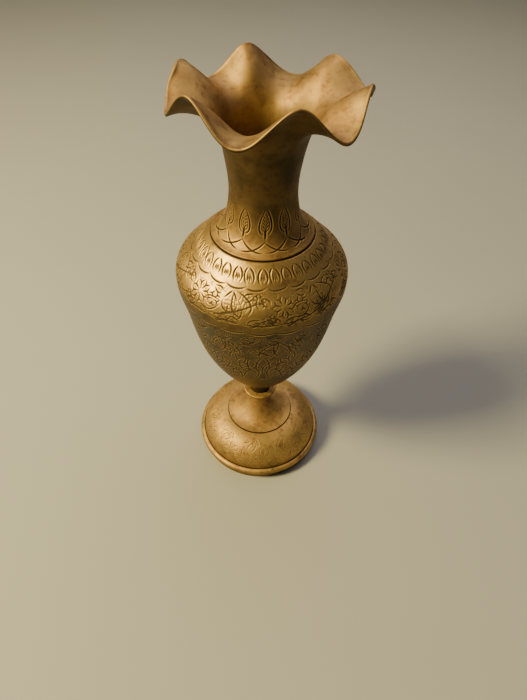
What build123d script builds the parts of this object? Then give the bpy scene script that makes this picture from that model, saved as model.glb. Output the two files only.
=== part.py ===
"""Engraved brass flower vase with a ruffled mouth, on a pedestal foot that unscrews.

Millimetres, +Z up.  The origin is on the vase's axis, on the face that the foot stands on.
The vase is a stack of turned and spun brass pieces on one axis.  From the bottom: the domed
foot, the stem soldered on top of it, a loose knop ring, and the vessel.  The vessel is the boss
with its screw, the belly shell, the shoulder shell and the neck with its ruffled mouth.
"""

import os
from math import atan2, cos, hypot, pi, radians, sin, sqrt

from build123d import *

# Foot: a turned dome, hollow underneath, with a bead round its edge
foot_radius = 39.6
foot_wall = 1.5
lip_inset = 1.6
bead_radius = 2.2
bead_height = 6.0
groove_width = 0.5
groove_depth = 0.6
foot_height = 24.2
foot_swell = 4.3
foot_rim_width = 2.6

# Stem: a trumpet that stands on the dome and is tapped for the screw
stem_flange_radius = 20.25
stem_flange_edge = 0.9
stem_radius = 5.5
stem_height = 22.0
stem_curve_radii = (12.6, 8.5, 5.9)
stem_curve_rises = (2.9, 7.5, 13.6)
stem_wall = 1.6
stem_spigot_radius = 12.0
stem_spigot_depth = 2.4
stem_ledge = 0.6
tapped_length = 12.0

# Screw: it stays in the boss and turns in the stem
screw_radius = 3.0
screw_engagement = 10.0
screw_hold = 9.0
screw_chamfer = 0.6
screw_clearance = 0.05
ring_clearance = 0.08

# Knop ring between the foot and the vessel
knop_radius = 9.9
knop_thickness = 1.6
knop_edge = 0.5

# Boss: the solid neck under the bowl
boss_foot_radius = 6.3
boss_height = 12.9
boss_top_radius = 10.0
boss_waist = 0.9
boss_waist_height = 6.45
boss_spigot_radius = 7.0
boss_spigot_height = 3.0

# Bowl: the belly and shoulder shells, joined by a lap at the widest place
shell_wall = 1.2
shell_inner_ease = 0.6
bowl_radius = 41.4
bowl_rise = 81.5
bowl_flank_insets = (18.7, 9.4, 4.6, 1.9)
bowl_flank_heights = (15.3, 35.0, 54.7, 69.0)
lap_length = 3.0
shoulder_height = 21.9
shoulder_turn_inset = 7.4
shoulder_turn_height = 12.6

# Neck and mouth: one casting, thinned on the lathe, its mouth bent into six folds
seat_radius = 24.2
skirt_radius = 23.5
skirt_edge = 0.6
skirt_round = 0.6
neck_wall = 1.2
neck_foot_wall = 3.1
lip_thickness = 1.0
neck_spigot_radius = 16.8
neck_spigot_depth = 2.6
neck_foot_radius = 19.2
neck_foot_height = 3.9
neck_low_radius = 16.0
neck_low_height = 11.0
neck_waist_radius = 14.7
neck_waist_height = 23.0
neck_high_radius = 16.3
neck_high_height = 37.0
flare_radii = (21.1, 28.3)
flare_heights = (51.0, 56.8)
flare_share = (0.15, 0.5)
mouth_radius = 36.8
mouth_height = 59.9

# The folds were bent by hand, so they differ: bearing in degrees, rise above the mean
# rim, and reach beyond the mean radius, first at each crest and then at the dip after it
crest_bearings = (39.3, 104.0, 156.0, 222.0, 288.0, 339.5)
crest_rises = (4.2, 5.2, 4.2, 6.1, 7.3, 6.7)
crest_reaches = (-1.1, -5.3, -1.2, -2.7, -1.4, 1.5)
dip_rises = (-8.8, -7.6, -6.8, -5.3, -5.2, -3.2)
dip_reaches = (2.3, 0.1, -0.4, -0.2, 4.0, 2.3)
section_step = 7.5

# Slopes of the bowl where it leaves the boss and where it meets the neck
bowl_floor_slope = 0.75
shoulder_top_slope = 0.7

# Heights of the joints, from the ground up
stem_top = foot_height + stem_height
knop_top = stem_top + knop_thickness
boss_top = knop_top + boss_height
seam_height = boss_top + bowl_rise
seat_height = seam_height + shoulder_height


def inset(points, wall):
    """The points of a curve moved sideways by the wall, to the left of its direction."""
    moved = []
    for index, (x, z) in enumerate(points):
        before = points[max(index - 1, 0)]
        after = points[min(index + 1, len(points) - 1)]
        run_x, run_z = after[0] - before[0], after[1] - before[1]
        length = hypot(run_x, run_z)
        moved.append((x - wall * run_z / length, z + wall * run_x / length))
    return moved


# ---------------------------------------------------------------- foot dome
lip_radius = foot_radius - lip_inset
bead_centre = (foot_radius - bead_radius, bead_height)
lip_height = bead_height - sqrt(bead_radius**2 - (lip_radius - bead_centre[0]) ** 2)
bead_end = (bead_centre[0], bead_centre[1] + bead_radius)
dome_start = (bead_end[0] - groove_depth, bead_end[1] + groove_width)
dome_end = (stem_flange_radius + stem_ledge, foot_height)
dome_chord = (dome_end[0] - dome_start[0], dome_end[1] - dome_start[1])
dome_span = hypot(*dome_chord)
dome_crown = (
    (dome_start[0] + dome_end[0]) / 2 + foot_swell * dome_chord[1] / dome_span,
    (dome_start[1] + dome_end[1]) / 2 - foot_swell * dome_chord[0] / dome_span,
)
dome_curve = [dome_start, dome_crown, dome_end]
hollow_curve = inset(dome_curve, foot_wall)
hollow_foot = (lip_radius - foot_rim_width, 0)

with BuildPart() as foot_dome:
    with BuildSketch(Plane.XZ):
        with BuildLine():
            Polyline(hollow_foot, (lip_radius, 0), (lip_radius, lip_height))
            ThreePointArc((lip_radius, lip_height), (foot_radius, bead_height), bead_end)
            Polyline(bead_end, (dome_start[0], bead_end[1]), dome_start)
            ThreePointArc(*dome_curve)
            Polyline(
                dome_end,
                (stem_spigot_radius, foot_height),
                (stem_spigot_radius, foot_height - foot_wall),
                (hollow_curve[2][0], foot_height - foot_wall),
            )
            ThreePointArc(
                (hollow_curve[2][0], foot_height - foot_wall), hollow_curve[1], hollow_curve[0]
            )
            Line(hollow_curve[0], hollow_foot)
        make_face()
    revolve(axis=Axis.Z)

# ---------------------------------------------------------------- stem cone
flange_top = foot_height + stem_flange_edge
tap_bottom = stem_top - tapped_length
stem_curve = [(stem_flange_radius, flange_top)]
for radius, rise in zip(stem_curve_radii, stem_curve_rises):
    stem_curve.append((radius, flange_top + rise))
stem_curve.append((stem_radius, stem_top))
stem_hollow = inset(stem_curve, stem_wall)

with BuildPart() as stem_cone:
    with BuildSketch(Plane.XZ):
        with BuildLine():
            Line((stem_flange_radius, foot_height), stem_curve[0])
            Spline(*stem_curve)
            Polyline(
                stem_curve[-1],
                (screw_radius + screw_clearance, stem_top),
                (screw_radius + screw_clearance, tap_bottom),
                (stem_hollow[2][0], stem_hollow[2][1]),
                (stem_spigot_radius - stem_wall, foot_height),
                (stem_spigot_radius - stem_wall, foot_height - stem_spigot_depth),
                (stem_spigot_radius, foot_height - stem_spigot_depth),
                (stem_spigot_radius, foot_height),
                (stem_flange_radius, foot_height),
            )
        make_face()
    revolve(axis=Axis.Z)

# ---------------------------------------------------------------- knop ring
knop_bore_radius = screw_radius + ring_clearance

with BuildPart() as knop_ring:
    with BuildSketch(Plane.XY.offset(stem_top)):
        Circle(knop_radius)
        Circle(knop_bore_radius, mode=Mode.SUBTRACT)
    extrude(amount=knop_thickness)
    circles = knop_ring.edges().filter_by(GeomType.CIRCLE)
    fillet(circles.filter_by(lambda edge: edge.radius > knop_bore_radius), knop_edge)

# ---------------------------------------------------------------- joining screw
screw_bottom = stem_top - screw_engagement
screw_top = knop_top + screw_hold

with BuildPart() as joining_screw:
    with BuildSketch(Plane.XY.offset(screw_bottom)):
        Circle(screw_radius)
    extrude(amount=screw_top - screw_bottom)
    chamfer(joining_screw.edges().group_by(Axis.Z)[0], screw_chamfer)

# ---------------------------------------------------------------- body boss
boss_middle = (
    (boss_foot_radius + boss_top_radius) / 2 - boss_waist,
    knop_top + boss_waist_height,
)

with BuildPart() as body_boss:
    with BuildSketch(Plane.XZ):
        with BuildLine():
            Line((screw_radius, knop_top), (boss_foot_radius, knop_top))
            ThreePointArc(
                (boss_foot_radius, knop_top), boss_middle, (boss_top_radius, boss_top)
            )
            Polyline(
                (boss_top_radius, boss_top),
                (boss_spigot_radius, boss_top),
                (boss_spigot_radius, boss_top + boss_spigot_height),
                (0, boss_top + boss_spigot_height),
                (0, screw_top),
                (screw_radius, screw_top),
                (screw_radius, knop_top),
            )
        make_face()
    revolve(axis=Axis.Z)

# ---------------------------------------------------------------- belly shell
belly_curve = [(boss_top_radius, boss_top)]
for flank_inset, rise in zip(bowl_flank_insets, bowl_flank_heights):
    belly_curve.append((bowl_radius - flank_inset, boss_top + rise))
belly_curve.append((bowl_radius, seam_height))
belly_hollow = inset(belly_curve, shell_wall)
floor_radius = boss_spigot_radius
floor_height = boss_top + shell_wall
belly_hollow[0] = (boss_top_radius + shell_inner_ease, floor_height)
belly_hollow[-1] = (bowl_radius - shell_wall, seam_height)

with BuildPart() as belly_shell:
    with BuildSketch(Plane.XZ):
        with BuildLine():
            Spline(*belly_curve, tangents=((1, bowl_floor_slope), (0, 1)))
            Line(belly_curve[-1], belly_hollow[-1])
            Spline(*reversed(belly_hollow), tangents=((0, -1), (-1, -bowl_floor_slope)))
            Polyline(
                belly_hollow[0],
                (floor_radius, floor_height),
                (floor_radius, boss_top),
                (boss_top_radius, boss_top),
            )
        make_face()
    revolve(axis=Axis.Z)
    with BuildSketch(Plane.XY.offset(seam_height - lap_length)):
        Circle(bowl_radius - shell_wall)
    extrude(amount=lap_length, mode=Mode.SUBTRACT)

# ---------------------------------------------------------------- shoulder shell
seat_underside = seat_height - shell_wall
opening_radius = neck_spigot_radius
shoulder_curve = [
    (bowl_radius, seam_height),
    (bowl_radius - shoulder_turn_inset, seam_height + shoulder_turn_height),
    (seat_radius, seat_height),
]
shoulder_hollow = inset(shoulder_curve, shell_wall)
tongue_radius = bowl_radius - shell_wall
shoulder_hollow[0] = (tongue_radius - shell_wall, seam_height)
shoulder_hollow[-1] = (seat_radius - shell_inner_ease, seat_underside)

with BuildPart() as shoulder_shell:
    with BuildSketch(Plane.XZ):
        with BuildLine():
            Spline(*shoulder_curve, tangents=((0, 1), (-1, shoulder_top_slope)))
            Polyline(
                shoulder_curve[-1],
                (opening_radius, seat_height),
                (opening_radius, seat_underside),
                shoulder_hollow[-1],
            )
            Spline(*reversed(shoulder_hollow), tangents=((1, -shoulder_top_slope), (0, -1)))
            Polyline(
                shoulder_hollow[0],
                (tongue_radius - shell_wall, seam_height - lap_length),
                (tongue_radius, seam_height - lap_length),
                (tongue_radius, seam_height),
                (bowl_radius, seam_height),
            )
        make_face()
    revolve(axis=Axis.Z)

# ---------------------------------------------------------------- mouth and neck
knots = []
for fold, bearing in enumerate(crest_bearings):
    following = crest_bearings[(fold + 1) % len(crest_bearings)]
    gap = (following - bearing) % 360
    knots.append((bearing, crest_rises[fold], crest_reaches[fold]))
    knots.append((bearing + gap / 2, dip_rises[fold], dip_reaches[fold]))


def bend(bearing):
    """Rise and reach of the rim at a bearing: half a cosine from each knot to the next."""
    for index, knot in enumerate(knots):
        following = knots[(index + 1) % len(knots)]
        width = (following[0] - knot[0]) % 360
        past = (bearing - knot[0]) % 360
        if past < width:
            ease = (1 - cos(pi * past / width)) / 2
            rise = knot[1] + (following[1] - knot[1]) * ease
            reach = knot[2] + (following[2] - knot[2]) * ease
            return rise, reach


neck_curve = [
    (skirt_radius - skirt_round, seat_height + skirt_edge + skirt_round),
    (neck_foot_radius, seat_height + neck_foot_height),
    (neck_low_radius, seat_height + neck_low_height),
    (neck_waist_radius, seat_height + neck_waist_height),
    (neck_high_radius, seat_height + neck_high_height),
]


def neck_section(bearing):
    """Outer curve and inner curve of the neck, from the skirt to the rim, at a bearing."""
    rise, reach = bend(bearing)
    outer = list(neck_curve)
    for radius, height, share in zip(flare_radii, flare_heights, flare_share):
        outer.append((radius + share * reach, seat_height + height + share * rise))
    outer.append((mouth_radius + reach, seat_height + mouth_height + rise))
    inner = inset(outer, neck_wall)
    inner[-1] = inset(outer, lip_thickness / 2)[-1]
    outer[-1] = inset(outer, -lip_thickness / 2)[-1]
    inner[0] = (neck_spigot_radius - neck_wall, seat_height)
    inner[1] = (neck_foot_radius - neck_foot_wall, seat_height + neck_foot_height)
    return outer, inner


def section_plane(bearing):
    """The upright plane through the axis at a bearing; its x runs outwards."""
    turn = radians(bearing)
    return Plane(
        origin=(0, 0, 0), x_dir=(cos(turn), sin(turn), 0), z_dir=(sin(turn), -cos(turn), 0)
    )


def neck_half(first, last):
    """The neck between two bearings, lofted through its sections."""
    steps = round((last - first) / section_step)
    with BuildPart() as half:
        for step in range(steps + 1):
            bearing = first + step * section_step
            outer, inner = neck_section(bearing)
            (outer_x, outer_z), (inner_x, inner_z) = outer[-1], inner[-1]
            lean = atan2(outer_z - inner_z, outer_x - inner_x)
            apex = (
                (outer_x + inner_x) / 2 - lip_thickness / 2 * sin(lean),
                (outer_z + inner_z) / 2 + lip_thickness / 2 * cos(lean),
            )
            skirt_low = (skirt_radius, seat_height + skirt_edge)
            with BuildSketch(section_plane(bearing)):
                with BuildLine():
                    Line((skirt_radius, seat_height), skirt_low)
                    JernArc(skirt_low, (0, 1), skirt_round, 90)
                    Spline(*outer)
                    ThreePointArc(outer[-1], apex, inner[-1])
                    Spline(*reversed(inner))
                    Polyline(
                        inner[0],
                        (neck_spigot_radius - neck_wall, seat_height - neck_spigot_depth),
                        (neck_spigot_radius, seat_height - neck_spigot_depth),
                        (neck_spigot_radius, seat_height),
                        (skirt_radius, seat_height),
                    )
                make_face()
        loft()
    return half.part


with BuildPart() as mouth_and_neck:
    add(neck_half(0, 180))
    add(neck_half(180, 360))

# ---------------------------------------------------------------- export
pieces = {
    "foot_dome": foot_dome,
    "stem_cone": stem_cone,
    "knop_ring": knop_ring,
    "joining_screw": joining_screw,
    "body_boss": body_boss,
    "belly_shell": belly_shell,
    "shoulder_shell": shoulder_shell,
    "mouth_and_neck": mouth_and_neck,
}
os.makedirs("parts", exist_ok=True)
for name, piece in pieces.items():
    piece.part.label = name
    export_step(piece.part, f"parts/{name}.step")
    box = piece.part.bounding_box()
    print(f"{name:16s} {piece.part.volume / 1000:8.2f} cm3  z {box.min.Z:7.2f} to {box.max.Z:7.2f}")
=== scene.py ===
# %% [markdown]
# # An engraved brass vase with a ruffled mouth
# The vase stands on a domed foot. Its bowl and neck are covered with hand engraving, and the metal
# has aged: dark in the cuts, worn bright on the edges, red-brown and green in the plain areas.
# The design holds every size. Here each engraved turned piece is rebuilt as a fine mesh on the
# design's own outline and cut with an engraver's drawing, and every piece is given a brass that has been
# handled for years.

import math

import bpy
import numpy as np
from mathutils import Matrix, Vector


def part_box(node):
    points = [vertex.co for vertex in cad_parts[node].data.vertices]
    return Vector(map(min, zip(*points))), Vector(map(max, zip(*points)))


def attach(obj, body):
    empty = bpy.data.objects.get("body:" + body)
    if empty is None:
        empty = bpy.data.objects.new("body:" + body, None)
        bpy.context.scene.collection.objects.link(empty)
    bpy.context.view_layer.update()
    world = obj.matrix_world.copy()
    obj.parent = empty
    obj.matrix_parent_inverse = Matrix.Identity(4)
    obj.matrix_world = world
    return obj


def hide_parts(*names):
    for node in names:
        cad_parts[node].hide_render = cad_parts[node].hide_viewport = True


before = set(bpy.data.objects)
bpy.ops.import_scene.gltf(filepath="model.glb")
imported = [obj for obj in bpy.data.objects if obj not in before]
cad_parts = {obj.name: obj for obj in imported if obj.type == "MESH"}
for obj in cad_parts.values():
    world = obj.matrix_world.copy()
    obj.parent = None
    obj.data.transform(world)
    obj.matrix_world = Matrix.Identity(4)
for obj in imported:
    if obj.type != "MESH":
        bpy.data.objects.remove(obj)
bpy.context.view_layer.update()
MM = 0.001

# %% [markdown]
# ## Reading a turned piece
# A turned piece is one outline spun about the axis. The outline could be typed in again, but then
# it could drift from the design, so it is read from the design's own mesh: the mesh is cut by the
# upright half plane at a bearing, and the cut edges are chained into one closed line.

# %% Cut a piece at a bearing
def triangles(node):
    """Corners of a design piece's triangles, in millimetres."""
    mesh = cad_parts[node].data
    mesh.calc_loop_triangles()
    corners = np.empty(len(mesh.loop_triangles) * 3, dtype=np.int32)
    mesh.loop_triangles.foreach_get("vertices", corners)
    points = np.empty(len(mesh.vertices) * 3, dtype=np.float32)
    mesh.vertices.foreach_get("co", points)
    return points.reshape(-1, 3).astype(float)[corners].reshape(-1, 3, 3) / MM


def outline(corners, bearing):
    """Closed outline at a bearing in degrees: rows of radius and height, anticlockwise."""
    turn = math.radians(bearing)
    along = corners[..., 0] * math.cos(turn) + corners[..., 1] * math.sin(turn)
    across = corners[..., 1] * math.cos(turn) - corners[..., 0] * math.sin(turn)
    flat = np.stack([along, corners[..., 2]], axis=-1)
    cuts, places = [], []
    for first, second in ((0, 1), (1, 2), (2, 0)):
        a, b = across[:, first], across[:, second]
        cut = (a < 0) != (b < 0)
        share = np.where(cut, a / np.where(cut, a - b, 1), 0)[:, None]
        cuts.append(cut)
        places.append(flat[:, first] + share * (flat[:, second] - flat[:, first]))
    cuts, places = np.array(cuts).T, np.array(places).transpose(1, 0, 2)
    whole = cuts.sum(axis=1) == 2
    pieces = places[whole][cuts[whole]].reshape(-1, 2, 2)
    pieces = pieces[pieces[:, :, 0].min(axis=1) > 0]
    left = np.ones(len(pieces), dtype=bool)
    left[0] = False
    line = [pieces[0, 0], pieces[0, 1]]
    while left.any():
        gaps = np.abs(pieces[left] - line[-1]).sum(axis=2)
        nearest = np.unravel_index(gaps.argmin(), gaps.shape)
        index = np.flatnonzero(left)[nearest[0]]
        line.append(pieces[index, 1 - nearest[1]])
        left[index] = False
    line = np.array(line[:-1])
    after = np.roll(line, -1, axis=0)
    area = (line[:, 0] * after[:, 1] - after[:, 0] * line[:, 1]).sum()
    return line if area > 0 else line[::-1]


def stretch(line, start, end):
    """The part of a closed outline from the point nearest start on to the one nearest end."""
    first = int(np.hypot(*(line - start).T).argmin())
    line = np.roll(line, -first, axis=0)
    last = int(np.hypot(*(line - end).T).argmin())
    return line[: last + 1]


def distances(path):
    """Distance along a path to each of its points."""
    steps = np.hypot(*np.diff(path, axis=0).T)
    return np.concatenate([[0], np.cumsum(steps)])


# %% [markdown]
# The design's mesh has small flats. Polished metal would show each flat as a band, so the long
# curves are fitted with one smooth polynomial. The short corners keep only the points that matter.

# %% Smooth a long curve, thin a cornered one
CURVE_DEGREE = 11


def smooth(path, spacing, degree=CURVE_DEGREE):
    """A path again, as one smooth curve with evenly spaced points."""
    travel = distances(path)
    count = max(int(travel[-1] / spacing), 2) + 1
    even = np.linspace(0, travel[-1], count * 4)
    dense = np.stack([np.interp(even, travel, path[:, axis]) for axis in (0, 1)], axis=1)
    fits = [np.polynomial.Chebyshev.fit(even, dense[:, axis], degree) for axis in (0, 1)]
    at = np.linspace(0, travel[-1], count)
    return np.stack([fit(at) for fit in fits], axis=1)


def thin(path, slack=0.02):
    """A path with only the points that it needs to stay within the slack."""
    if len(path) < 3:
        return path
    chord = path[-1] - path[0]
    offsets = path - path[0]
    span = max(np.hypot(*chord), 1e-9)
    away = np.abs(offsets[:, 0] * chord[1] - offsets[:, 1] * chord[0]) / span
    if span < 1e-6:
        away = np.hypot(*offsets.T)
    far = int(away.argmax())
    if away[far] < slack:
        return path[[0, -1]]
    return np.concatenate([thin(path[: far + 1], slack)[:-1], thin(path[far:], slack)])


# %% [markdown]
# ## The engraver's sheet
# The ornament is cut with a burin: a stroke that swells and fades, dark at the bottom, with a thin
# burr raised beside it. Modelling every stroke as a tool and subtracting it would take thousands of
# boolean cuts. Instead each piece gets a sheet, its surface unrolled into fine squares, where the
# strokes are drawn as depths. The mesh then takes its depth from the sheet, so the cuts are real.

# %% Draw strokes on a sheet
SHEET_GRAIN = 0.16
# In widths of a cut: where its burr stands, how broad the burr is, and how far a cut changes things
BURR_PLACE, BURR_BREADTH, CUT_REACH = 0.85, 0.33, 2.2


class Sheet:
    """The surface of a piece unrolled: bearing across, distance along its outline up."""

    def __init__(self, path):
        self.travel = distances(path)
        self.radii = path[:, 0]
        self.across = int(2 * math.pi * self.radii.max() / SHEET_GRAIN)
        self.up = int(self.travel[-1] / SHEET_GRAIN) + 2
        self.depth = np.zeros((self.up, self.across))
        self.burr = np.zeros((self.up, self.across))
        self.strokes = 0

    def radius(self, distance):
        return float(np.interp(distance, self.travel, self.radii))

    def cut(self, points, bearing, distance, width, depth, fade=0.6):
        """One stroke. Points are millimetres right and up from a place at bearing, distance."""
        radius = self.radius(distance + points[:, 1].mean())
        x = points[:, 0] + math.radians(bearing) * radius
        y = points[:, 1] + distance
        reach = CUT_REACH * width
        low_y, high_y = y.min() - reach, y.max() + reach
        rows = np.arange(max(int(low_y / SHEET_GRAIN), 0), min(int(high_y / SHEET_GRAIN) + 1, self.up))
        grain = 2 * math.pi * radius / self.across
        columns = np.arange(int((x.min() - reach) / grain), int((x.max() + reach) / grain) + 1)
        if not len(rows):
            return
        px, py = np.meshgrid(columns * grain, rows * SHEET_GRAIN)
        near = np.full(px.shape, 1e9)
        share = np.zeros(px.shape)
        count = len(x) - 1
        for index in range(count):
            ax, ay, dx, dy = x[index], y[index], x[index + 1] - x[index], y[index + 1] - y[index]
            t = np.clip(((px - ax) * dx + (py - ay) * dy) / max(dx * dx + dy * dy, 1e-9), 0, 1)
            gap = np.hypot(px - ax - t * dx, py - ay - t * dy)
            closer = gap < near
            near = np.where(closer, gap, near)
            share = np.where(closer, (index + t) / count, share)
        swell = np.clip(np.sin(math.pi * share), 0.02, 1) ** fade
        groove = depth * swell * np.exp(-((near / (width / 2 * swell**0.5)) ** 2))
        ridge = depth * swell * np.exp(-(((near - BURR_PLACE * width) / (BURR_BREADTH * width)) ** 2))
        place = np.ix_(rows, columns % self.across)
        self.depth[place] = np.maximum(self.depth[place], groove)
        self.burr[place] = np.maximum(self.burr[place], ridge)
        self.strokes += 1

    def read(self, layer, distances_up, bearings):
        """A layer's value at each distance and bearing, blended between squares."""
        y = np.clip(distances_up / SHEET_GRAIN, 0, self.up - 1.001)
        x = (bearings / (2 * math.pi) * self.across) % self.across
        y0, x0 = y.astype(int), x.astype(int)
        fy, fx = (y - y0)[:, None], (x - x0)[None, :]
        x1 = (x0 + 1) % self.across
        low = layer[np.ix_(y0, x0)] * (1 - fx) + layer[np.ix_(y0, x1)] * fx
        high = layer[np.ix_(y0 + 1, x0)] * (1 - fx) + layer[np.ix_(y0 + 1, x1)] * fx
        return low * (1 - fy) + high * fy


# %% [markdown]
# ## The engraver's motifs
# Each motif is a function that returns strokes: points in millimetres, a width and a depth. A motif
# is drawn once about its own place, and `engrave` turns, scales and repeats it. The real engraver
# works the same way, by habit, so a small seeded unevenness goes into each copy.

# %% Lines and leaves
hand = np.random.default_rng(7)
# Widths and depths of the engraver's two usual strokes
BOLD, FINE = (0.62, 0.26), (0.4, 0.16)


def bezier(*controls, count=14):
    """A smooth line with two to four control points."""
    controls = np.array(controls, dtype=float)
    t = np.linspace(0, 1, count)[:, None]
    while len(controls) > 1 and controls.ndim == 2:
        controls = np.repeat(controls[:, None, :], count, axis=1)
    while len(controls) > 1:
        controls = controls[:-1] * (1 - t) + controls[1:] * t
    return controls[0]


def arc(radius, start, end, centre=(0, 0), count=14):
    """Part of a circle, from one bearing to another, in degrees."""
    turn = np.radians(np.linspace(start, end, count))
    return np.stack([centre[0] + radius * np.cos(turn), centre[1] + radius * np.sin(turn)], axis=1)


def leaf(length, width, veins=4, double=False, nib=BOLD):
    """A pointed leaf standing on its stalk, with a midrib and slanted veins."""
    half = width / 2
    strokes = []
    for side in (-1, 1):
        low, high = (side * half * 1.9, length * 0.15), (side * half * 0.9, length * 0.75)
        edge = bezier((0, 0), low, high, (0, length))
        strokes.append((edge, *nib))
        if double:
            strokes.append((edge * (0.66, 0.7) + (0, length * 0.13), *FINE))
        for vein in range(veins):
            root = length * (0.15 + 0.6 * vein / max(veins, 1))
            reach = side * half * 0.72 * math.sin(math.pi * (root / length * 0.8 + 0.2))
            middle, tip = (reach * 0.5, root + length * 0.03), (reach, root + length * 0.16)
            strokes.append((bezier((0, root), middle, tip, count=6), *FINE))
    strokes.append((bezier((0, 0), (0.2, length * 0.5), (0, length * 0.86), count=8), *FINE))
    return strokes


def bud(radius):
    """A rosebud: a cup of petals with scales laid inside it."""
    strokes = [
        (arc(radius, 150, 390, count=18), *BOLD),
        (bezier((-radius * 0.85, radius * 0.5), (-radius * 0.3, radius * 1.5), (0, radius * 1.6)), *BOLD),
        (bezier((radius * 0.85, radius * 0.5), (radius * 0.3, radius * 1.5), (0, radius * 1.6)), *BOLD),
    ]
    for row in range(3):
        for side in (-1, 0, 1):
            centre = (side * radius * 0.5, radius * (0.75 - 0.5 * row) - abs(side) * 0.1 * radius)
            strokes.append((arc(radius * 0.34, 200, 340, centre, count=7), *FINE))
    return strokes


def flower(radius, petals, eye=0.22):
    """An open flower: pointed petals round an eye."""
    strokes = [(arc(radius * eye, 0, 360, count=12), *FINE)]
    for petal in range(petals):
        turn = 2 * math.pi * petal / petals
        spin = np.array([[math.cos(turn), math.sin(turn)], [-math.sin(turn), math.cos(turn)]])
        half = radius * math.sin(math.pi / petals) * 0.8
        for side in (-1, 1):
            edge = bezier((0, radius * eye), (side * half * 1.6, radius * 0.6), (0, radius), count=9)
            strokes.append((edge @ spin, *BOLD))
        rib = bezier((0, radius * 0.35), (0.1, radius * 0.6), (0, radius * 0.8), count=5)
        strokes.append((rib @ spin, *FINE))
    return strokes


def sprig(length, rise, leaflets=4):
    """A long curved stem with leaflets on both sides."""
    low, high = (length * 0.35, -rise * 0.25), (length * 0.6, rise * 0.35)
    stem = bezier((0, 0), low, high, (length, rise), count=20)
    strokes = [(stem, *BOLD), (stem[3:-2] + (0.2, -0.75), *FINE)]
    for index in range(leaflets):
        root = stem[4 + index * 13 // leaflets]
        side = 1 if index % 2 else -1
        for edge in (0.55, -0.2):
            tip = root + np.array([2.0, side * 3.1])
            middle = root + np.array([0.6 + edge * 1.6, side * 1.7])
            strokes.append((bezier(root, middle, tip, count=7), *FINE))
    return strokes


# How far a hand strays: degrees of turn, and share of size
HAND_TURN, HAND_SIZE = 1.5, 0.025


def engrave(sheet, strokes, bearing, distance, turn=0.0, deep=1.0, wide=1.0):
    """Cuts a motif on a sheet, with the small unevenness of a hand."""
    wobble = math.radians(turn + hand.normal(0, HAND_TURN))
    spin = np.array([[math.cos(wobble), math.sin(wobble)], [-math.sin(wobble), math.cos(wobble)]])
    scale = 1 + hand.normal(0, HAND_SIZE)
    for points, width, depth in strokes:
        sheet.cut((points * scale) @ spin, bearing, distance, width * wide, depth * deep)


print("motifs ready: a leaf has", len(leaf(10, 5)), "strokes and a flower", len(flower(6, 8)))

# %% [markdown]
# ## From outline to mesh
# A spun shell is a closed ring: its outline goes up the outside and down the inside. Spinning it as
# a grid, rows round the outline and columns round the axis, keeps every face a clean quad. The
# grid is finest where the engraving is: a bold cut with its burrs is about three faces wide.

# %% Spin rows into a closed mesh
SHARP_EDGE = math.radians(60)


def normals(rows):
    """Outward directions of closed outlines: rows, columns, radius and height."""
    run = np.roll(rows, -1, axis=0) - np.roll(rows, 1, axis=0)
    out = np.stack([run[..., 1], -run[..., 0]], axis=-1)
    return out / np.maximum(np.linalg.norm(out, axis=-1, keepdims=True), 1e-9)


def spin(name, rows, body, nodes, finish_slot, marks=None, lift=None):
    """A closed ring of quads from outlines in millimetres, one for each column."""
    count, columns = rows.shape[:2]
    bearings = np.arange(columns) / columns * 2 * math.pi
    if lift is not None:
        rows = rows + normals(rows) * lift[..., None]
    x, y = rows[..., 0] * np.cos(bearings), rows[..., 0] * np.sin(bearings)
    points = np.stack([x, y, rows[..., 1]], axis=-1).reshape(-1, 3) * MM
    here = np.arange(count * columns).reshape(count, columns)
    right, up = np.roll(here, -1, axis=1), np.roll(here, -1, axis=0)
    faces = np.stack([here, right, np.roll(up, -1, axis=1), up], axis=-1).reshape(-1, 4)
    mesh = bpy.data.meshes.new(name)
    mesh.from_pydata(points.tolist(), [], faces.tolist())
    for mark, values in (marks or {}).items():
        layer = mesh.attributes.new(mark, "FLOAT", "POINT")
        layer.data.foreach_set("value", values.astype(np.float32).ravel())
    return place(name, mesh, body, nodes, finish_slot)


def place(name, mesh, body, nodes, finish_slot):
    """Puts a finished mesh in the scene, on its body, in the place of its design pieces."""
    mesh.shade_smooth()
    mesh.set_sharp_from_angle(angle=SHARP_EDGE)
    piece = bpy.data.objects.new(name, mesh)
    bpy.context.scene.collection.objects.link(piece)
    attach(piece, body)
    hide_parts(*nodes)
    print(name, "has", len(mesh.polygons), "faces")
    return piece


# %% [markdown]
# Real brass has no knife edges: the lathe and years of cloth round every corner. A corner of an
# outline is swapped for three points on a small arc, which is enough to catch a line of light.

# %% Ease the corners of a closed outline
EDGE_EASE, DOME_EASE = 0.22, 0.12
# A bend of less than 25 degrees is left as it is
STRAIGHT = math.cos(math.radians(25))


def ease(path, amount=EDGE_EASE):
    """A cornered path with each sharp inner corner cut into a small arc."""
    points = [path[0]]
    for before, corner, after in zip(path[:-2], path[1:-1], path[2:]):
        back, ahead = before - corner, after - corner
        back_length, ahead_length = np.hypot(*back), np.hypot(*ahead)
        if back @ ahead < -STRAIGHT * back_length * ahead_length:
            points.append(corner)
            continue
        reach = min(amount, back_length * 0.4, ahead_length * 0.4)
        start = corner + back / back_length * reach
        end = corner + ahead / ahead_length * reach
        points += [start, (start + end + 2 * corner) / 4, end]
    points.append(path[-1])
    return np.array(points)


# The burr stands this share of the cut's depth above the surface
BURR_SHARE = 0.3


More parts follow.
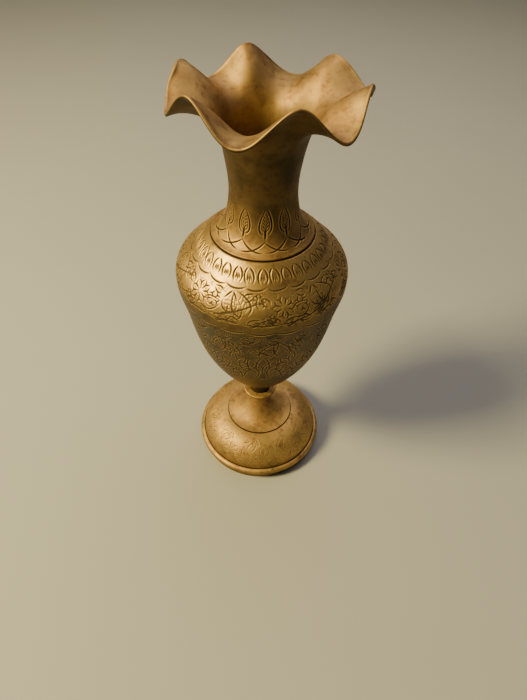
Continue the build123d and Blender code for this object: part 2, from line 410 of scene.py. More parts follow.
def engraved_ring(name, sheet, bands, columns, body, nodes, finish_slot):
    """A turned piece from bands of one outline. The first band carries the sheet's engraving."""
    path = np.concatenate([band[:-1] for band in bands])
    rows = np.repeat(path[:, None, :], columns, axis=1)
    engraved = len(bands[0]) - 1
    bearings = np.arange(columns) / columns * 2 * math.pi
    travel = distances(bands[0])[:-1]
    cut, burr = np.zeros(rows.shape[:2]), np.zeros(rows.shape[:2])
    cut[:engraved] = sheet.read(sheet.depth, travel, bearings)
    burr[:engraved] = sheet.read(sheet.burr, travel, bearings)
    lift = burr * BURR_SHARE - cut
    return spin(name, rows, body, nodes, finish_slot, {"cut": cut, "burr": burr}, lift)


print("corner ease:", EDGE_EASE, "mm, burr:", BURR_SHARE, "of the cut's depth")

# %% [markdown]
# ## The belly
# The belly is a spun shell, widest at the seam. The engraver covered it with large open lotus
# flowers on the lower cone, and with a wavy line, hatching and small scale rosettes near the seam.

# %% Belly outline and its sheet
# A round piece has the same outline everywhere, so it is cut at any one bearing
CUT_BEARING = 5
BELLY_STEP, SHOULDER_STEP, DOME_STEP = 0.5, 0.3, 0.4
belly_line = outline(triangles("belly_shell"), CUT_BEARING)
belly_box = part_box("belly_shell")
seam = belly_box[1].z / MM
belly_foot = (belly_line[belly_line[:, 1] < belly_box[0].z / MM + 0.05, 0].max(), belly_box[0].z / MM)
belly_rim = (belly_line[belly_line[:, 1] > seam - 0.05, 0].max(), seam)
belly_outside = smooth(stretch(belly_line, belly_foot, belly_rim), BELLY_STEP)
# The plain rows near the boss need only every sixth row
PLAIN_END, PLAIN_STEP = 72, 6
belly_outside = np.concatenate([belly_outside[:PLAIN_END:PLAIN_STEP], belly_outside[PLAIN_END:]])
belly_rest = thin(stretch(belly_line, belly_rim, belly_foot))
belly_sheet = Sheet(belly_outside)
belly_length = belly_sheet.travel[-1]
print("belly outline:", round(belly_length, 1), "mm,", len(belly_outside), "rows outside")

# %% [markdown]
# The lotus flowers of the lower belly share one habit: a fan of pointed petals with a midrib each,
# standing on a small round cup. Between them the engraver filled every gap with long leaves, so
# hardly any plain metal is left.

# %% Lotus, rosette, wave and hatching
def lotus(size, petals=7):
    """A fan of pointed petals that opens upwards."""
    strokes = []
    for petal in range(petals):
        turn = math.radians(-78 + 156 * petal / (petals - 1))
        spin = np.array([[math.cos(turn), -math.sin(turn)], [math.sin(turn), math.cos(turn)]])
        long = size * (1 - 0.22 * abs(math.sin(turn)))
        half = size * 0.2
        for side in (-1, 1):
            low, high = (side * half * 1.5, long * 0.55), (side * half * 0.4, long * 0.85)
            edge = bezier((0, size * 0.12), low, high, (0, long))
            strokes.append((edge @ spin, *BOLD))
        strokes.append((bezier((0, size * 0.2), (0.1, long * 0.8), count=6) @ spin, *FINE))
    strokes.append((arc(size * 0.2, 180, 360, count=9), *BOLD))
    return strokes


def rosette(radius):
    """Rings of scales round a point."""
    strokes = [(arc(radius * 0.28, 0, 360, count=12), *FINE)]
    for ring, scales in ((0.62, 6), (1.0, 9)):
        for scale in range(scales):
            turn = 360 * scale / scales
            out, way = radius * (ring - 0.2), math.radians(turn)
            centre = (math.cos(way) * out, math.sin(way) * out)
            strokes.append((arc(radius * 0.26, turn - 100, turn + 100, centre, count=8), *FINE))
    return strokes


def ticks(count, pitch, length, slant=0.25):
    """A row of short slanted strokes."""
    return [
        (bezier((index * pitch, 0), (index * pitch + slant * length, length), count=5), *FINE)
        for index in range(count)
    ]


def swag(width, drop):
    """A shallow hanging curve with a hook at its end."""
    low_left, low_right = (-width * 0.2, -drop * 1.6), (width * 0.2, -drop * 1.4)
    hang = bezier((-width / 2, 0), low_left, low_right, (width * 0.5, drop * 0.3))
    return [(hang, *BOLD)]


# %% Engrave the belly
def ring_of(count, start=270.0):
    """Bearings of a number of places spread evenly round the axis."""
    return [start + 360 * index / count for index in range(count)]


WAVE_COUNT, ROSETTES, LOTUS_COUNT = 20, 10, 8
for bearing in ring_of(WAVE_COUNT):
    lean = hand.normal(0, 3)
    engrave(belly_sheet, swag(13.5, 1.1), bearing, belly_length - 3.2, lean, deep=1.1, wide=1.2)
    engrave(belly_sheet, ticks(8, 0.95, 3.2), bearing - 6, belly_length - 9)
    engrave(belly_sheet, leaf(8.5, 4.6, 3, double=True), bearing + 6, belly_length - 11, turn=-68)
    engrave(belly_sheet, leaf(7.0, 3.8, 3, double=True), bearing + 12, belly_length - 13.5, turn=52)
for bearing in ring_of(ROSETTES, 244):
    engrave(belly_sheet, rosette(3.5), bearing, belly_length - 14.5)
    engrave(belly_sheet, leaf(16, 6.6, 5), bearing + 9, belly_length - 26, turn=24)
    engrave(belly_sheet, leaf(16, 6.2, 5), bearing + 27, belly_length - 26, turn=-26)
    engrave(belly_sheet, sprig(13, 6.5, 4), bearing + 7, belly_length - 14, turn=-4)
for bearing in ring_of(LOTUS_COUNT, 272):
    engrave(belly_sheet, lotus(21, 9), bearing, belly_length - 45)
    engrave(belly_sheet, lotus(11, 5), bearing + 22.5, belly_length - 34)
    engrave(belly_sheet, leaf(17, 6.2, 6), bearing + 13, belly_length - 50, turn=16)
    engrave(belly_sheet, leaf(17, 6.2, 6), bearing + 32, belly_length - 50, turn=-16)
    engrave(belly_sheet, leaf(13, 5, 4), bearing + 22.5, belly_length - 51)
    engrave(belly_sheet, flower(5.2, 8), bearing + 22.5, belly_length - 18.5)
    engrave(belly_sheet, leaf(9, 4.4, 3, double=True), bearing + 9, belly_length - 22, turn=60)
    engrave(belly_sheet, leaf(9, 4.4, 3, double=True), bearing - 10, belly_length - 22, turn=-60)

# Small curved strokes fill the ground between the flowers
FILL_STROKES = 420
for _ in range(FILL_STROKES):
    sweep = bezier((0, 0), (hand.uniform(-1.2, 1.2), 1.6), (hand.uniform(-0.6, 0.6), 3.4), count=6)
    height = belly_length - hand.uniform(5.5, 47)
    engrave(belly_sheet, [(sweep, *FINE)], hand.uniform(0, 360), height, turn=hand.uniform(-50, 50))
print("belly:", belly_sheet.strokes, "strokes")

# %% Make the belly
BELLY_COLUMNS = 600
belly = engraved_ring(
    "Belly",
    belly_sheet,
    [belly_outside, ease(belly_rest)],
    BELLY_COLUMNS,
    "vessel",
    ["belly_shell"],
    "engraved_brass",
)

# %% [markdown]
# ## The shoulder
# The shoulder is the most looked-at part, so it has the best work: a row of paddle leaves under the
# neck, a chain of swags, and below it a vine with large leaves, rosebuds and star flowers.

# %% Shoulder outline and its sheet
shoulder_line = outline(triangles("shoulder_shell"), CUT_BEARING)
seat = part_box("shoulder_shell")[1].z / MM
shoulder_top = (shoulder_line[shoulder_line[:, 1] > seat - 0.05, 0].max(), seat)
shoulder_outside = smooth(stretch(shoulder_line, belly_rim, shoulder_top), SHOULDER_STEP)
shoulder_rest = thin(stretch(shoulder_line, shoulder_top, belly_rim))
shoulder_sheet = Sheet(shoulder_outside)
print("shoulder outline:", round(shoulder_sheet.travel[-1], 1), "mm,", len(shoulder_outside), "rows")


# %% Paddle leaves and the vine
def paddle(length, width):
    """An upright leaf, open at the bottom, with short strokes inside."""
    half = width / 2
    strokes = []
    for side in (-1, 1):
        low, high = (side * half * 1.5, length * 0.5), (side * half * 0.7, length * 0.95)
        edge = bezier((side * half * 0.55, 0), low, high, (0, length))
        strokes.append((edge, *BOLD))
    for step in (-1, 0, 1):
        low = length * (0.12 + 0.08 * abs(step))
        strokes.append((bezier((step * 0.85, low), (step * 0.5, length * 0.62), count=6), 0.55, 0.2))
    return strokes


def vine(long, tall):
    """One length of the shoulder's vine: a double stem that climbs to the right."""
    low, high = (long * 0.3, -tall * 0.6), (long * 0.5, tall * 0.35)
    stem = bezier((0, -tall * 0.45), low, high, (long * 0.82, tall * 0.4), count=26)
    return [(stem, 0.7, 0.28), (stem[2:-3] + (0.1, -0.9), *FINE)]


def curl(radius):
    """A small hooked tendril."""
    turn = np.linspace(0, 1.55 * math.pi, 14)
    size = radius * (1 - 0.62 * np.linspace(0, 1, 14))
    return [(np.stack([size * np.cos(turn), size * np.sin(turn)], axis=1), *FINE)]


PADDLES, SWAGS, VINES, CURLS = 34, 22, 6, 30
for bearing in ring_of(PADDLES, 271.5):
    lean = 10 + hand.normal(0, 4)
    engrave(shoulder_sheet, paddle(6.9, 4.0), bearing, 19.4, turn=lean, wide=1.1, deep=1.1)
for bearing in ring_of(SWAGS, 266):
    engrave(shoulder_sheet, swag(10.5, 1.2), bearing, 18.1, turn=hand.normal(0, 3), wide=1.1)
for bearing in ring_of(CURLS, 268):
    engrave(shoulder_sheet, curl(1.3), bearing, 14.9, turn=hand.uniform(0, 360))
    engrave(shoulder_sheet, curl(1.2), bearing + 5, 1.9, turn=hand.uniform(0, 360))
LOW_SPRIGS = 16
for bearing in ring_of(LOW_SPRIGS, 259):
    engrave(shoulder_sheet, sprig(15, 1.2, 6), bearing, 1.7, turn=hand.normal(0, 3), wide=1.1)
    engrave(shoulder_sheet, leaf(6.8, 3.2, 3, double=True), bearing + 3, 1.2, turn=-64)
    engrave(shoulder_sheet, leaf(5.8, 2.8, 2), bearing + 13, 3.4, turn=-104)
for bearing in ring_of(VINES, 232):
    engrave(shoulder_sheet, vine(40, 11), bearing, 8.2)
    engrave(shoulder_sheet, leaf(12.5, 7.6, 4, double=True), bearing + 29, 5.4, turn=34, wide=1.15)
    engrave(shoulder_sheet, bud(3.3), bearing + 17, 9.6, wide=1.1)
    engrave(shoulder_sheet, flower(3.4, 5), bearing + 5, 9.4)
    engrave(shoulder_sheet, flower(5.4, 8), bearing + 53, 9.3, wide=1.1)
    engrave(shoulder_sheet, leaf(5.6, 2.8, 2), bearing + 38, 9.2, turn=14)
    engrave(shoulder_sheet, leaf(5.2, 2.6, 2), bearing + 44, 10.6, turn=52)
    engrave(shoulder_sheet, leaf(5.6, 2.8, 2), bearing + 22, 3.8, turn=-28)
    engrave(shoulder_sheet, sprig(9, 2.4, 3), bearing + 34, 3.1, turn=4)
    engrave(shoulder_sheet, leaf(6.5, 3.4, 2), bearing + 12, 2.4, turn=-62)
    engrave(shoulder_sheet, leaf(9.5, 5.6, 3, double=True), bearing - 2, 6.0, turn=-72)
    engrave(shoulder_sheet, flower(2.3, 5), bearing + 45, 4.6)
    engrave(shoulder_sheet, leaf(5.4, 2.9, 2), bearing + 26, 12.4, turn=-60)
    engrave(shoulder_sheet, leaf(4.8, 2.6, 2), bearing + 10, 13.6, turn=75)
    engrave(shoulder_sheet, leaf(6.2, 3.2, 2), bearing + 50, 2.2, turn=66)
    engrave(shoulder_sheet, flower(2.6, 6), bearing + 36, 13.0)
    engrave(shoulder_sheet, leaf(4.6, 2.2, 2), bearing + 19, 5.2, turn=20)
print("shoulder:", shoulder_sheet.strokes, "strokes")

# %% Make the shoulder
SHOULDER_COLUMNS = 764
shoulder = engraved_ring(
    "Shoulder",
    shoulder_sheet,
    [shoulder_outside, ease(shoulder_rest)],
    SHOULDER_COLUMNS,
    "vessel",
    ["shoulder_shell"],
    "engraved_brass",
)

# %% [markdown]
# ## The foot
# The foot is a turned dome with a bead round its edge. It has been handled and dusted more than
# the bowl, so its flowers are worn shallow and soft.

# %% Engrave and make the foot
dome_line = outline(triangles("foot_dome"), CUT_BEARING)
dome_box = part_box("foot_dome")
flange_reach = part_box("stem_cone")[1].x / MM
dome_top = (dome_line[(dome_line[:, 1] > dome_box[1].z / MM - 0.05), 0].max(), dome_box[1].z / MM)
# The dome's curve starts just inside the groove above the bead
BEAD_REACH, GROOVE_HEIGHT, GROOVE_INSET = 2.4, 8.7, 0.4
bead = dome_line[dome_line[:, 0] > dome_box[1].x / MM - BEAD_REACH]
dome_low = np.array((bead[:, 0].min() - GROOVE_INSET, GROOVE_HEIGHT))
dome_outside = smooth(stretch(dome_line, dome_low, dome_top), DOME_STEP)
dome_rest = thin(stretch(dome_line, dome_outside[-1], dome_outside[0]), 0.01)
dome_sheet = Sheet(dome_outside)
print("foot outline:", round(dome_sheet.travel[-1], 1), "mm;", np.round(dome_outside[[0, -1]], 2).tolist())

WORN = 0.75
for bearing in ring_of(10, 274):
    engrave(dome_sheet, flower(5.6, 7), bearing, 9.5, deep=WORN)
    engrave(dome_sheet, leaf(10.5, 5, 4), bearing + 20, 4.2, turn=20, deep=WORN)
    engrave(dome_sheet, leaf(7.5, 3.6, 3), bearing + 20, 12.6, turn=-35, deep=WORN)
    engrave(dome_sheet, sprig(8, 2.5, 3), bearing + 8, 17.0, deep=WORN)
    engrave(dome_sheet, leaf(6, 3, 2), bearing + 9, 3.0, turn=-50, deep=WORN)
    engrave(dome_sheet, leaf(5, 2.6, 2), bearing + 27, 5.0, turn=60, deep=WORN)
    engrave(dome_sheet, flower(2.4, 5), bearing + 28, 17.5, deep=WORN)
print("foot:", dome_sheet.strokes, "strokes")

DOME_COLUMNS = 560
dome = engraved_ring(
    "Foot",
    dome_sheet,
    [dome_outside, ease(dome_rest, DOME_EASE)],
    DOME_COLUMNS,
    "foot",
    ["foot_dome"],
    "engraved_brass",
)

# %% [markdown]
# ## The neck and the ruffled mouth
# The neck was spun round and then its mouth was bent into six folds by hand, so its outline is
# different at each bearing. It is read at many bearings, each one is smoothed, and the outlines are
# blended round the axis by keeping only the slow waves of each row.

# %% Read the neck all round
neck_triangles = triangles("mouth_and_neck")
NECK_SLICES, NECK_COLUMNS = 96, 440
OUTER_ROWS, ENGRAVED_ROWS, INNER_ROWS, LIP_ROWS = 150, 88, 50, 9
SLOW_WAVES, NECK_DEGREE = 30, 13
ENGRAVED_SHARE = 0.31
# Heights of the skirt's top edge and of the neck's waist above the seat
SKIRT_RISE, WAIST_RISE = 1.2, 23
# The outermost part of that edge is left to the skirt
SKIRT_ROUND = 0.55
# Inner radius at the neck's foot, and the length of the rounded rim on each side of the tip
NECK_BORE, LIP_LENGTH = 15.6, 0.85
skirt_top, neck_middle = seat + SKIRT_RISE, seat + WAIST_RISE


def resample(path, shares):
    """A path as one smooth curve, with points at given shares of its length."""
    curve = smooth(path, distances(path)[-1] / (len(shares) * 3), NECK_DEGREE)
    travel = distances(curve)
    places = shares * travel[-1]
    return np.stack([np.interp(places, travel, curve[:, axis]) for axis in (0, 1)], axis=1)


# Most of the outer rows lie in the engraved part
outer_shares = np.concatenate([
    np.linspace(0, ENGRAVED_SHARE, ENGRAVED_ROWS, endpoint=False),
    np.linspace(ENGRAVED_SHARE, 1, OUTER_ROWS - ENGRAVED_ROWS),
])


def neck_rows(bearing):
    """Outer curve, lip and inner curve of the neck at a bearing, in order."""
    line = outline(neck_triangles, bearing)
    tip = line[np.hypot(line[:, 0], line[:, 1] - neck_middle).argmax()]
    top = line[np.abs(line[:, 1] - skirt_top) < 0.3]
    start = top[top[:, 0].argmax()] - (SKIRT_ROUND, 0)
    outer = stretch(line, start, tip)
    inner = stretch(line, tip, (NECK_BORE, seat))
    outer = outer[: int(np.searchsorted(distances(outer), distances(outer)[-1] - LIP_LENGTH))]
    inner = inner[int(np.searchsorted(distances(inner), LIP_LENGTH)) :]
    outer, inner = resample(outer, outer_shares), resample(inner, np.linspace(0, 1, INNER_ROWS))
    middle, half = (outer[-1] + inner[0]) / 2, (outer[-1] - inner[0]) / 2
    proud = np.array([-half[1], half[0]])
    turn = np.linspace(0, math.pi, LIP_ROWS + 2)[1:-1, None]
    lip = middle + half * np.cos(turn) + proud * np.sin(turn)
    return np.concatenate([outer, lip, inner])


# A thousandth of a degree keeps each cut clear of the mesh's own corners
slice_bearings = [360 * index / NECK_SLICES + 1e-3 for index in range(NECK_SLICES)]
slices = np.stack([neck_rows(bearing) for bearing in slice_bearings], axis=1)
waves = np.fft.rfft(slices, axis=1)
waves[:, SLOW_WAVES:] = 0
neck_curves = np.fft.irfft(waves, NECK_COLUMNS, axis=1) * NECK_COLUMNS / NECK_SLICES
print("neck:", slices.shape[0], "rows, up to", round(neck_curves[..., 1].max(), 1), "mm")

# %% [markdown]
# The skirt under the neck is round and plain turned, so its corners come from one slice. Dark
# pointed leaves stand round the neck's root, and their stems run out into crossing scallops.

# %% Engrave the neck
skirt_line = outline(neck_triangles, CUT_BEARING)
skirt_rest = thin(stretch(skirt_line, slices[-1, 1], slices[0, 1]), 0.02)[1:-1]
neck_outside = neck_curves[:OUTER_ROWS].mean(axis=1)
neck_sheet = Sheet(neck_outside)


def neck_leaf(length, width):
    """A bold pointed leaf with a double edge, filled with veins, on a short stem."""
    half = width / 2
    strokes = []
    for side in (-1, 1):
        low, high = (side * half * 2.1, length * 0.12), (side * half * 1.1, length * 0.7)
        edge = bezier((0, 0), low, high, (0, length))
        strokes.append((edge, 0.62, 0.27))
        strokes.append((edge * (0.62, 0.72) + (0, length * 0.13), *FINE))
        for vein in range(5):
            root = length * (0.12 + 0.13 * vein)
            tip = (side * half * 0.55, root + length * 0.14)
            strokes.append((bezier((side * 0.2, root), tip, count=5), 0.45, 0.2))
    strokes.append((bezier((0, -1.6), (0.05, length * 0.3), count=6), 0.8, 0.32))
    return strokes


NECK_LEAVES, ARM_RADIUS = 11, 21
leaf_pitch = 2 * math.pi * ARM_RADIUS / NECK_LEAVES
for bearing in ring_of(NECK_LEAVES, 274):
    engrave(neck_sheet, neck_leaf(11.2, 4.0), bearing, 9.4, turn=hand.normal(0, 2))
    for way in (-1, 1):
        middle, end = (way * leaf_pitch * 0.5, -1.0), (way * leaf_pitch, 5.4)
        arm = bezier((way * 0.4, -0.6), middle, end, count=18)
        engrave(neck_sheet, [(arm, 0.66, 0.26)], bearing, 3.0)
print("neck:", neck_sheet.strokes, "strokes")

# %% Make the neck
neck_columns = np.arange(NECK_COLUMNS) / NECK_COLUMNS * 2 * math.pi
skirt_rows = np.repeat(skirt_rest[:, None, :], NECK_COLUMNS, axis=1)
neck_grid = np.concatenate([neck_curves, skirt_rows])
neck_cut, neck_burr = np.zeros(neck_grid.shape[:2]), np.zeros(neck_grid.shape[:2])
neck_cut[:OUTER_ROWS] = neck_sheet.read(neck_sheet.depth, neck_sheet.travel, neck_columns)
neck_burr[:OUTER_ROWS] = neck_sheet.read(neck_sheet.burr, neck_sheet.travel, neck_columns)
neck = spin(
    "Neck",
    neck_grid,
    "vessel",
    ["mouth_and_neck"],
    "neck_brass",
    {"cut": neck_cut, "burr": neck_burr},
    neck_burr * BURR_SHARE - neck_cut,
)

# %% [markdown]
# ## The joining screw
# The screw is hidden until the foot is unscrewed. It has a real right-handed thread, and its pitch
# is the lift of one turn, so the thread climbs as the design's joint says it does.

# %% Cut the thread
screw_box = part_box("joining_screw")
screw_low, screw_high = screw_box[0].z / MM, screw_box[1].z / MM
screw_radius = screw_box[1].x / MM
PITCH, THREAD_DEPTH, SCREW_COLUMNS, SCREW_STEP = 1.5, 0.55, 72, 0.1
TIP_LENGTH, TIP_INSET = 0.7, 0.6
heights = np.arange(screw_low, screw_high, SCREW_STEP)[:, None]
turns = np.arange(SCREW_COLUMNS)[None, :] / SCREW_COLUMNS
wind = (heights / PITCH - turns) % 1
flank = np.clip(np.abs(wind - 0.5) * 2.6 - 0.15, 0, 1)
tip = np.clip((heights - screw_low) / TIP_LENGTH, 0, 1) * TIP_INSET - TIP_INSET
screw_radii = screw_radius - THREAD_DEPTH * flank + tip
around = turns * 2 * math.pi
threads = [screw_radii * np.cos(around), screw_radii * np.sin(around), heights + 0 * turns]
ring = np.stack(threads, axis=-1)
here = np.arange(ring.shape[0] * SCREW_COLUMNS).reshape(-1, SCREW_COLUMNS)
right = np.roll(here, -1, axis=1)
screw_faces = np.stack([here[:-1], right[:-1], right[1:], here[1:]], axis=-1).reshape(-1, 4).tolist()
screw_mesh = bpy.data.meshes.new("Screw")
screw_ends = [here[0][::-1].tolist(), here[-1].tolist()]
screw_mesh.from_pydata((ring.reshape(-1, 3) * MM).tolist(), [], screw_faces + screw_ends)
screw = place("Screw", screw_mesh, "vessel", ["joining_screw"], "dull_brass")

# %% [markdown]
# ## Old brass
# New brass is yellow and even. Brass that has stood for decades is not one colour: it is red-brown
# where hands have oiled it, greenish where damp has sat, nearly black in the cuts and pale on the
# worn edges. Two small classes let the shader maths be written as plain expressions.

# %% Shader maths as expressions
class Wire:
    """A socket that can be added, multiplied and mixed like a number."""

    def __init__(self, finish, socket):
        self.finish, self.socket = finish, socket

    def maths(self, operation, *others):
        values = dict(enumerate((self, *others)))
        return self.finish.node("ShaderNodeMath", {"operation": operation}, values)

    def __add__(self, other):
        return self.maths("ADD", other)

    def __sub__(self, other):
        return self.maths("SUBTRACT", other)

    def __rsub__(self, other):
        return self.finish.node("ShaderNodeMath", {"operation": "SUBTRACT"}, {0: other, 1: self})

    def __mul__(self, other):
        return self.maths("MULTIPLY", other)

    __radd__, __rmul__ = __add__, __mul__

    def between(self, low, high):
        """0 below low, 1 above high, and a smooth change in the middle."""
        settings = {"interpolation_type": "SMOOTHSTEP"}
        return self.finish.node("ShaderNodeMapRange", settings, {0: self, 1: low, 2: high})


class Finish:
    """A metal finish: a material, built node by node."""

    def __init__(self, name):
        self.material = bpy.data.materials.new(name)
        self.material.use_nodes = True
        self.tree = self.material.node_tree
        self.tree.nodes.clear()
        self.count = 0

    def node(self, kind, settings=None, values=None, output=0):
        made = self.tree.nodes.new(kind)
        made.location = (self.count % 12 * 190, -(self.count // 12) * 260)
        self.count += 1
        for setting, value in (settings or {}).items():
            setattr(made, setting, value)
        for key, value in (values or {}).items():
            if isinstance(value, Wire):
                self.tree.links.new(value.socket, made.inputs[key])
            else:
                made.inputs[key].default_value = value
        return Wire(self, made.outputs[output]) if made.outputs else None

    def mix(self, share, first, second):
        """A colour between two colours."""
        settings = {"data_type": "RGBA"}
        return self.node("ShaderNodeMix", settings, {0: share, 6: first, 7: second}, output=2)

    def noise(self, place, scale, detail=3.0, roughness=0.55):
        values = {"Vector": place, "Scale": scale, "Detail": detail, "Roughness": roughness}
        return self.node("ShaderNodeTexNoise", {}, values)


# %% [markdown]
# One recipe makes every brass on the vase, and only its amounts differ. Places are in millimetres
# on the piece itself, so the pattern stays on the metal when the vessel is unscrewed.

# %% The recipe for old brass
BRIGHT = (0.82, 0.525, 0.185, 1)
AGED = (0.47, 0.285, 0.125, 1)
UMBER = (0.27, 0.125, 0.06, 1)
OLIVE = (0.15, 0.125, 0.055, 1)
# A near-black brown for the painted shade on metal that faces down
UNDERSIDE_SHADE_BROWN = (0.035, 0.027, 0.019, 1)
# Soot for the cuts and specks, also used for the dirt and painted shade at the joins
SOOT_AND_SHADE = (0.03, 0.02, 0.014, 1)


def old_brass(name, polish, tarnish, rough, ink=1.0, lines=1.0, underside_shade=1.0, dirt_shade_joins=()):
    """Aged brass. Polish, tarnish and the painted underside shade are shares, ink is how dark the cuts
    are, and each join circle, a radius, a height and a reach, is darkened with grime and painted shade."""
    finish = Finish(name)
    where = finish.node("ShaderNodeTexCoord", {}, {}, output=3)
    mm = finish.node("ShaderNodeVectorMath", {"operation": "SCALE"}, {0: where, "Scale": 1 / MM})
    flat = finish.node("ShaderNodeVectorMath", {"operation": "MULTIPLY"}, {0: mm, 1: (1, 1, 0)})
    radius = finish.node("ShaderNodeVectorMath", {"operation": "LENGTH"}, {0: flat}, output=1)
    height = finish.node("ShaderNodeSeparateXYZ", {}, {0: mm}, output=2)
    ring = finish.node("ShaderNodeCombineXYZ", {}, {0: radius, 1: height})
    facing = finish.node("ShaderNodeNewGeometry", {}, {}, output=1)
    upward = finish.node("ShaderNodeSeparateXYZ", {}, {0: facing}, output=2)
    cut = finish.node("ShaderNodeAttribute", {"attribute_name": "cut"}, {}, output=2)
    burr = finish.node("ShaderNodeAttribute", {"attribute_name": "burr"}, {}, output=2)

    # Four sizes of stain, counted in waves for each millimetre, and the rings left by the lathe
    clouds = finish.noise(mm, 0.045, 4, 0.6)
    patches = finish.noise(mm, 0.16, 6, 0.62)
    blotches = finish.noise(mm, 0.42, 5, 0.68)
    specks = finish.noise(mm, 1.3, 4, 0.6)
    lathe = finish.noise(ring, 2.4, 2, 0.7)

    # Painted shade and reflection: metal that faces down is darkened, as if in shadow and mirroring dark
    # surroundings
    painted_underside_shade = (1 - (upward + patches * 0.3 - 0.15).between(-0.25, 0.78)) * underside_shade
    shine = (clouds * 0.5 + patches * 0.5 + polish - 0.5).between(0.3, 0.7)
    colour = finish.mix(shine, AGED, BRIGHT)
    colour = finish.mix((patches + tarnish - 0.5).between(0.44, 0.7) * 0.55, colour, UMBER)
    stains = (blotches * 0.6 + patches * 0.4).between(0.51, 0.62)
    colour = finish.mix(stains * tarnish, colour, UMBER)
    damp = (finish.noise(mm, 0.07, 3) + tarnish - 0.5).between(0.46, 0.74)
    # Olive damp, weighted towards the downward-facing metal of the painted shade
    colour = finish.mix(damp * 0.7 * (0.4 + painted_underside_shade), colour, OLIVE)
    # Painted shade: downward-facing metal is darkened towards a near-black brown
    colour = finish.mix(painted_underside_shade * 0.93, colour, UNDERSIDE_SHADE_BROWN)
    colour = finish.mix(specks.between(0.62, 0.78) * 0.35 * tarnish, colour, SOOT_AND_SHADE)
    # Dirt and painted shade darken the places where two pieces meet. Soot fills the cuts, and their burrs
    # are rubbed bright
    dirt_and_shade = 0.0
    for join_radius, join_height, reach in dirt_shade_joins:
        measure = {"operation": "DISTANCE"}
        join = (join_radius, join_height, 0)
        away = finish.node("ShaderNodeVectorMath", measure, {0: ring, 1: join}, output=1)
        dirt_and_shade = dirt_and_shade + (1 - (away + patches * reach * 0.5).between(0.35 * reach, 1.25 * reach))
    # Soot in the cuts, and dirt with painted shade round the joins
    dark = (cut.between(0.02, 0.16) * ink + dirt_and_shade).between(0, 1)
    lit = burr.between(0.02, 0.2) * (1 - dark)
    colour = finish.mix(dark, colour, SOOT_AND_SHADE)
    # Rubbed bright burrs, dimmed where the painted underside shade lies
    colour = finish.mix(lit * 0.8 * (1 - painted_underside_shade * 0.55), colour, BRIGHT)

    roughness = rough + patches * 0.14 + dark * 0.3 + (1 - shine) * 0.12 + blotches * 0.1 + lathe * 0.05
    relief = lathe * (0.5 * lines) + patches * 1.2 + specks * 0.35
    bump = finish.node("ShaderNodeBump", {}, {"Strength": 0.35, "Distance": 0.00012, "Height": relief})
    metal = finish.node(
        "ShaderNodeBsdfPrincipled",
        {},
        {"Base Color": colour, "Metallic": 1 - dark * 0.45, "Roughness": roughness, "Normal": bump},
    )
    finish.node("ShaderNodeOutputMaterial", {}, {0: metal})
    return finish.material


def dress(piece, material):
    """Gives a piece one material."""
    piece.data.materials.clear()
    piece.data.materials.append(material)


# Where dirt and painted shade darken the joins: radius, height and reach in millimetres
skirt_dirt_shade = (float(skirt_rest[:, 0].max()), seat, 0.95)
flange_dirt_shade = (flange_reach, dome_box[1].z / MM, 0.75)
bead_dirt_shade = (float(dome_outside[0, 0]), float(dome_outside[0, 1]) - 0.4, 0.8)
knop_low, knop_high = (corner.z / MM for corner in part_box("knop_ring"))
# The wide dark rings below the knop and at the belly's foot are painted shade, with dirt in the joins
knop_dirt_shade = ((6.0, knop_low, 6.0), (6.5, knop_high, 1.8), (belly_foot[0], belly_foot[1], 3.5))
bowl_dirt_shade = (skirt_dirt_shade, knop_dirt_shade[2])
bowl_brass = old_brass("Bowl brass", polish=0.7, tarnish=0.46, rough=0.32, ink=0.8, dirt_shade_joins=bowl_dirt_shade)
# The underside share in each finish is how much painted shade falls on metal that faces down
neck_brass = old_brass("Neck brass", 0.53, 0.58, 0.42, ink=0.85, underside_shade=0.85, dirt_shade_joins=(skirt_dirt_shade,))
foot_brass = old_brass("Foot brass", 0.59, 0.5, 0.43, ink=0.5, underside_shade=0.7, dirt_shade_joins=(flange_dirt_shade, bead_dirt_shade))
stem_dirt_shade = (flange_dirt_shade, *knop_dirt_shade[:2])
stem_brass = old_brass("Stem brass", 0.53, 0.5, 0.46, lines=2.0, underside_shade=0.7, dirt_shade_joins=stem_dirt_shade)
# Painted shade: the boss, under the belly, gets a darker, less polished copy of the brass
shaded_boss_brass = old_brass("Shaded boss brass", 0.3, 0.62, 0.36, lines=2.0, dirt_shade_joins=(knop_dirt_shade[1],))
screw_brass = old_brass("Screw brass", polish=0.4, tarnish=0.5, rough=0.4)
dress(shoulder, bowl_brass)
dress(belly, bowl_brass)
dress(neck, neck_brass)
dress(dome, foot_brass)
dress(screw, screw_brass)
for node, material in (("stem_cone", stem_brass), ("knop_ring", foot_brass), ("body_boss", shaded_boss_brass)):
    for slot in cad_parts[node].material_slots:
        slot.material = material
print("finishes:", [material.name for material in bpy.data.materials if material.users])

# %% [markdown]
# ## Floor, light and camera
# The floor is plain and pale. A small warm lamp, high on the left, models the round forms: it puts
# a highlight on the left of the shoulder and lets the right fall into shade. A wide, weak lamp
# behind and above lights the floor and the mouth, and the world adds a little light from all around.

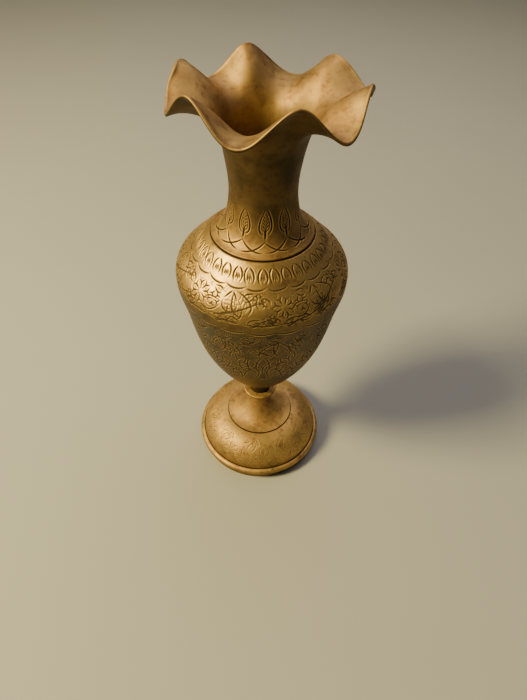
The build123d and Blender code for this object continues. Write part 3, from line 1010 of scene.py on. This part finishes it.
# %% A pale floor
floor_mesh = bpy.data.meshes.new("Floor")
FLOOR_HALF = 6.0
floor_corners = [(x * FLOOR_HALF, y * FLOOR_HALF, 0) for x, y in ((-1, -1), (1, -1), (1, 1), (-1, 1))]
floor_mesh.from_pydata(floor_corners, [], [(0, 1, 2, 3)])
floor = bpy.data.objects.new("Floor", floor_mesh)
bpy.context.scene.collection.objects.link(floor)
paper = Finish("Pale floor")
paper_where = paper.node("ShaderNodeTexCoord", {}, {}, output=3)
paper_tone = paper.mix(paper.noise(paper_where, 6.0, 3), (0.5, 0.49, 0.47, 1), (0.54, 0.53, 0.51, 1))
paper_shade = paper.node("ShaderNodeBsdfPrincipled", {}, {"Base Color": paper_tone, "Roughness": 0.75})
paper.node("ShaderNodeOutputMaterial", {}, {0: paper_shade})
dress(floor, paper.material)


# %% Lamps
def lamp(name, place_at, aim, size, power, colour):
    """A square soft lamp, aimed at a point."""
    light = bpy.data.lights.new(name, "AREA")
    light.size, light.energy, light.color = size, power, colour
    holder = bpy.data.objects.new(name, light)
    holder.location = place_at
    holder.rotation_euler = (Vector(aim) - Vector(place_at)).to_track_quat("-Z", "Y").to_euler()
    bpy.context.scene.collection.objects.link(holder)


aim = (0, 0, 0.13)
lamp("Key", (-0.75, -0.2, 0.78), aim, 0.26, 16.5, (1.0, 0.84, 0.36))
lamp("Back", (0.1, 0.45, 1.05), aim, 1.0, 4.6, (1.0, 0.92, 0.82))
world = bpy.data.worlds.new("Studio")
bpy.context.scene.world = world
world.use_nodes = True
background = world.node_tree.nodes["Background"]
background.inputs["Color"].default_value = (1.0, 0.96, 0.9, 1)
background.inputs["Strength"].default_value = 0.08

# %% Camera
# Radians, metres, and the lens and sensor in millimetres
YAW, PITCH_DOWN, ROLL = 0.009, 0.852, 0.025
CAMERA_AT, LENS, SENSOR = (0, -0.1897, 0.298), 25.71, 36
straight = Vector((math.sin(YAW), math.cos(YAW), 0))
ahead = straight * math.cos(PITCH_DOWN) - Vector((0, 0, math.sin(PITCH_DOWN)))
level = Vector((math.cos(YAW), -math.sin(YAW), 0))
above = level.cross(ahead)
side = math.cos(ROLL) * level + math.sin(ROLL) * above
top = math.cos(ROLL) * above - math.sin(ROLL) * level
camera_data = bpy.data.cameras.new("Camera")
camera_data.lens, camera_data.sensor_width = LENS, SENSOR
camera = bpy.data.objects.new("Camera", camera_data)
directions = Matrix((side, top, -ahead)).transposed()
camera.matrix_world = Matrix.Translation(CAMERA_AT) @ directions.to_4x4()
bpy.context.scene.collection.objects.link(camera)
bpy.context.scene.camera = camera
